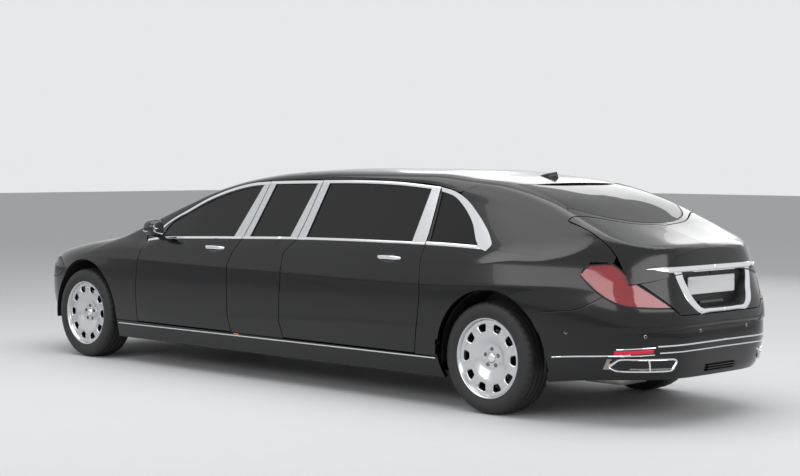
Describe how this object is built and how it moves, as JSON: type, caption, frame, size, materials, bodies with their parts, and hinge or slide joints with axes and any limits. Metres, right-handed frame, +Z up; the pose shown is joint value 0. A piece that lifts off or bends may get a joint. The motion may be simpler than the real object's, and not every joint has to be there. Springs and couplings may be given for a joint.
{
  "type": "stretch limousine",
  "caption": "Long saloon with doors at front and rear and a fixed panel between them, steered front wheels, a bonnet and a boot lid.",
  "frame": {"origin": "on the ground, below the middle of the car's length and width", "axes": "+X forward, +Y to the car's left, +Z up"},
  "size_m": [6.499, 2.146, 1.5749],
  "materials": {
    "paint": "gloss black",
    "glass": "tinted",
    "chrome_trim": "polished",
    "headlamp_lens": "clear",
    "red_lens": "clear red",
    "black_plastic": "satin",
    "interior": "soft grain",
    "seat_leather": "soft leather",
    "underbody": "matt",
    "cast_metal": "rough",
    "exhaust_steel": "brushed",
    "tyre_rubber": "matt",
    "wheel_alloy": "polished"
  },
  "bodies": {
    "root": {"floor_pan": "underbody", "front_wings": "paint", "centre_panels": "paint", "quarter_panels": "paint", "sills": "paint", "roof_panel": "paint", "roof_rails": "paint", "scuttle_panel": "black_plastic", "windscreen": "glass", "rear_window": "glass", "fixed_side_windows": "glass", "front_bumper": "paint", "rear_bumper": "paint", "grille": "chrome_trim", "headlamps": "headlamp_lens", "tail_lamps": "red_lens", "wheel_liners": "black_plastic", "bulkheads": "underbody", "dashboard": "interior", "partition_wall": "interior", "front_seats": "seat_leather", "cabin_seats": "seat_leather", "engine_block": "cast_metal", "exhaust_system": "exhaust_steel", "front_suspension": "cast_metal", "rear_suspension": "cast_metal"},
    "knuckle_left": {"knuckle_left": "cast_metal"},
    "wheel_front_left": {"tyre_front_left": "tyre_rubber", "rim_front_left": "wheel_alloy"},
    "wheel_rear_left": {"tyre_rear_left": "tyre_rubber", "rim_rear_left": "wheel_alloy"},
    "front_door_left": {"front_door_left": "paint", "front_door_glass_left": "glass", "mirror_left": "black_plastic"},
    "rear_door_left": {"rear_door_left": "paint", "rear_door_glass_left": "glass"},
    "knuckle_right": {"knuckle_right": "cast_metal"},
    "wheel_front_right": {"tyre_front_right": "tyre_rubber", "rim_front_right": "wheel_alloy"},
    "wheel_rear_right": {"tyre_rear_right": "tyre_rubber", "rim_rear_right": "wheel_alloy"},
    "front_door_right": {"front_door_right": "paint", "front_door_glass_right": "glass", "mirror_right": "black_plastic"},
    "rear_door_right": {"rear_door_right": "paint", "rear_door_glass_right": "glass"},
    "bonnet": {"bonnet": "paint"},
    "boot_lid": {"boot_lid": "paint"},
    "steering_wheel": {"steering_wheel": "interior"}
  },
  "joints": [
    {"name": "steer_left", "type": "hinge", "parent": "root", "child": "knuckle_left", "pos_m": [2.3735, 0.758, 0.364], "axis": [0, 0, 1], "range_deg": [-35, 35]},
    {"name": "roll_front_left", "type": "hinge", "parent": "knuckle_left", "child": "wheel_front_left", "pos_m": [2.3735, 0.803, 0.364], "axis": [0, 1, 0], "continuous": true},
    {"name": "roll_rear_left", "type": "hinge", "parent": "root", "child": "wheel_rear_left", "pos_m": [-2.0445, 0.803, 0.364], "axis": [0, 1, 0], "continuous": true},
    {"name": "front_door_left_swing", "type": "hinge", "parent": "root", "child": "front_door_left", "pos_m": [1.5955, 0.9465, 0.7], "axis": [0, 0, -1], "range_deg": [0, 65]},
    {"name": "rear_door_left_swing", "type": "hinge", "parent": "root", "child": "rear_door_left", "pos_m": [-0.1155, 0.9465, 0.7], "axis": [0, 0, -1], "range_deg": [0, 65]},
    {"name": "steer_right", "type": "hinge", "parent": "root", "child": "knuckle_right", "pos_m": [2.3735, -0.758, 0.364], "axis": [0, 0, 1], "range_deg": [-35, 35]},
    {"name": "roll_front_right", "type": "hinge", "parent": "knuckle_right", "child": "wheel_front_right", "pos_m": [2.3735, -0.803, 0.364], "axis": [0, 1, 0], "continuous": true},
    {"name": "roll_rear_right", "type": "hinge", "parent": "root", "child": "wheel_rear_right", "pos_m": [-2.0445, -0.803, 0.364], "axis": [0, 1, 0], "continuous": true},
    {"name": "front_door_right_swing", "type": "hinge", "parent": "root", "child": "front_door_right", "pos_m": [1.5955, -0.9465, 0.7], "axis": [0, 0, 1], "range_deg": [0, 65]},
    {"name": "rear_door_right_swing", "type": "hinge", "parent": "root", "child": "rear_door_right", "pos_m": [-0.1155, -0.9465, 0.7], "axis": [0, 0, 1], "range_deg": [0, 65]},
    {"name": "bonnet_lift", "type": "hinge", "parent": "root", "child": "bonnet", "pos_m": [1.8, 0, 1.095], "axis": [0, -1, 0], "range_deg": [0, 50]},
    {"name": "boot_lid_lift", "type": "hinge", "parent": "root", "child": "boot_lid", "pos_m": [-2.65, 0, 1.3], "axis": [0, 1, 0], "range_deg": [0, 75]},
    {"name": "steering_wheel_turn", "type": "hinge", "parent": "root", "child": "steering_wheel", "pos_m": [1.1135, 0.405, 0.91], "axis": [-0.9135, 0, 0.4067], "range_deg": [-500, 500]}
  ],
  "couplings": [
    {"joint": "steer_right", "follows": "steer_left", "ratio": 1},
    {"joint": "steering_wheel_turn", "follows": "steer_left", "ratio": 14}
  ]
}
